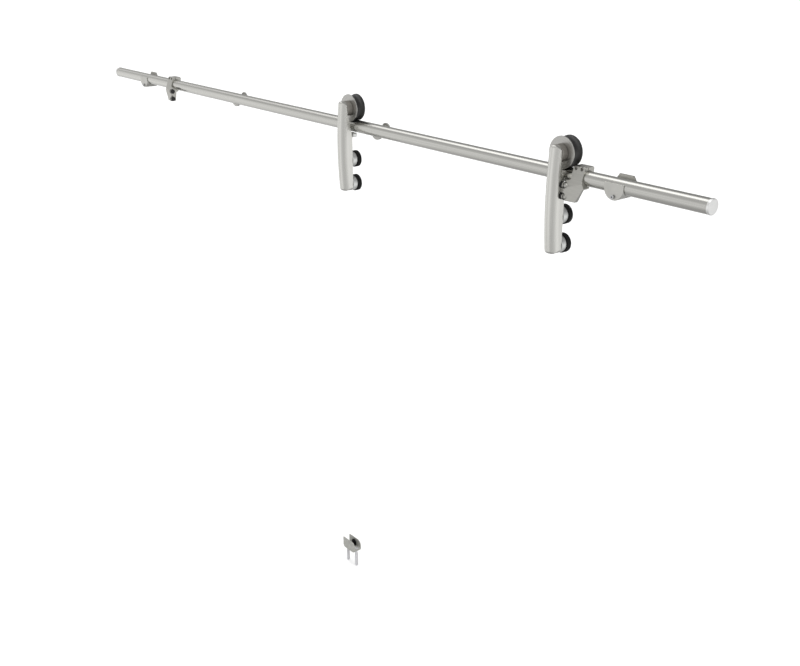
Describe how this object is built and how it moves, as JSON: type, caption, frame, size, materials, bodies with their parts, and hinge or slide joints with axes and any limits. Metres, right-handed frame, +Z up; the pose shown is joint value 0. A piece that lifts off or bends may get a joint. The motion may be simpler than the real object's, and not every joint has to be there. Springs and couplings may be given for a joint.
{
  "type": "sliding door hardware set",
  "caption": "Round-rail sliding door hardware: rail on wall brackets, hanging roller trolleys with glass fixings, end stops and a floor guide.",
  "frame": {"origin": "on the wall face of the right-hand end bracket, on its centre plane and 10 mm below the rail's axis", "axes": "X along the rail with +X to the right seen from the room, +Y into the wall, +Z up"},
  "size_m": [1.964, 0.064, 1.1555],
  "materials": {
    "rail_steel": "brushed along its length",
    "cap_steel": "satin",
    "bracket_steel": "satin, slightly grained",
    "stop_steel": "satin, slightly grained",
    "bar_steel": "brushed along its length",
    "disc_steel": "turned, fine rings",
    "spacer_steel": "turned, satin",
    "bearing_steel": "ground",
    "screw_steel": "plain",
    "guide_steel": "dull, bead blasted",
    "wheel_polymer": "matt black",
    "black_rubber": "matt black",
    "liner_polymer": "matt black"
  },
  "bodies": {
    "rail_set": {"rail_tube": "rail_steel", "rail_cap_right": "cap_steel", "end_bracket_block_right": "bracket_steel", "end_bracket_saddle_right": "bracket_steel", "end_bracket_screw_right": "screw_steel", "mid_bracket_right": "bracket_steel", "stop_front_jaw_right": "stop_steel", "stop_rear_jaw_right": "stop_steel", "stop_screw_inner_right": "screw_steel", "stop_screw_outer_right": "screw_steel", "stop_buffer_upper_right": "black_rubber", "stop_buffer_lower_right": "black_rubber", "guide_screw_right": "screw_steel", "rail_cap_left": "cap_steel", "end_bracket_block_left": "bracket_steel", "end_bracket_saddle_left": "bracket_steel", "end_bracket_screw_left": "screw_steel", "mid_bracket_left": "bracket_steel", "stop_front_jaw_left": "stop_steel", "stop_rear_jaw_left": "stop_steel", "stop_screw_inner_left": "screw_steel", "stop_screw_outer_left": "screw_steel", "stop_buffer_upper_left": "black_rubber", "stop_buffer_lower_left": "black_rubber", "guide_screw_left": "screw_steel", "guide_body": "guide_steel", "guide_liner": "liner_polymer"},
    "trolley_right": {"hanger_bar_right": "bar_steel", "axle_screw_right": "screw_steel", "hub_spacer_right": "spacer_steel", "bearing_inner_ring_right": "bearing_steel", "anti_jump_block_right": "spacer_steel", "glass_spacer_upper_right": "spacer_steel", "glass_spacer_lower_right": "spacer_steel", "glass_gasket_upper_right": "black_rubber", "glass_gasket_lower_right": "black_rubber", "glass_screw_upper_right": "screw_steel", "glass_screw_lower_right": "screw_steel"},
    "wheel_right": {"bearing_outer_ring_right": "bearing_steel", "wheel_tyre_right": "wheel_polymer", "wheel_disc_right": "disc_steel"},
    "bearing_cage_right": {"bearing_cage_right": "bearing_steel"},
    "trolley_left": {"hanger_bar_left": "bar_steel", "axle_screw_left": "screw_steel", "hub_spacer_left": "spacer_steel", "bearing_inner_ring_left": "bearing_steel", "anti_jump_block_left": "spacer_steel", "glass_spacer_upper_left": "spacer_steel", "glass_spacer_lower_left": "spacer_steel", "glass_gasket_upper_left": "black_rubber", "glass_gasket_lower_left": "black_rubber", "glass_screw_upper_left": "screw_steel", "glass_screw_lower_left": "screw_steel"},
    "wheel_left": {"bearing_outer_ring_left": "bearing_steel", "wheel_tyre_left": "wheel_polymer", "wheel_disc_left": "disc_steel"},
    "bearing_cage_left": {"bearing_cage_left": "bearing_steel"}
  },
  "joints": [
    {"name": "trolley_right_slide", "type": "slide", "parent": "rail_set", "child": "trolley_right", "axis": [-1, 0, 0], "range_m": [0, 0.731]},
    {"name": "trolley_left_slide", "type": "slide", "parent": "rail_set", "child": "trolley_left", "axis": [-1, 0, 0], "range_m": [0, 0.731]},
    {"name": "wheel_right_spin", "type": "hinge", "parent": "trolley_right", "child": "wheel_right", "pos_m": [-0.115, -0.025, 0.046], "axis": [0, -1, 0], "continuous": true},
    {"name": "bearing_right_spin", "type": "hinge", "parent": "trolley_right", "child": "bearing_cage_right", "pos_m": [-0.115, -0.025, 0.046], "axis": [0, -1, 0], "continuous": true},
    {"name": "wheel_left_spin", "type": "hinge", "parent": "trolley_left", "child": "wheel_left", "pos_m": [-0.697, -0.025, 0.046], "axis": [0, -1, 0], "continuous": true},
    {"name": "bearing_left_spin", "type": "hinge", "parent": "trolley_left", "child": "bearing_cage_left", "pos_m": [-0.697, -0.025, 0.046], "axis": [0, -1, 0], "continuous": true}
  ],
  "couplings": [
    {"joint": "trolley_left_slide", "follows": "trolley_right_slide", "ratio": 1},
    {"joint": "wheel_right_spin", "follows": "trolley_right_slide", "rad_per_m": 42.553},
    {"joint": "bearing_right_spin", "follows": "trolley_right_slide", "rad_per_m": 26.243},
    {"joint": "wheel_left_spin", "follows": "trolley_right_slide", "rad_per_m": 42.553},
    {"joint": "bearing_left_spin", "follows": "trolley_right_slide", "rad_per_m": 26.243}
  ]
}
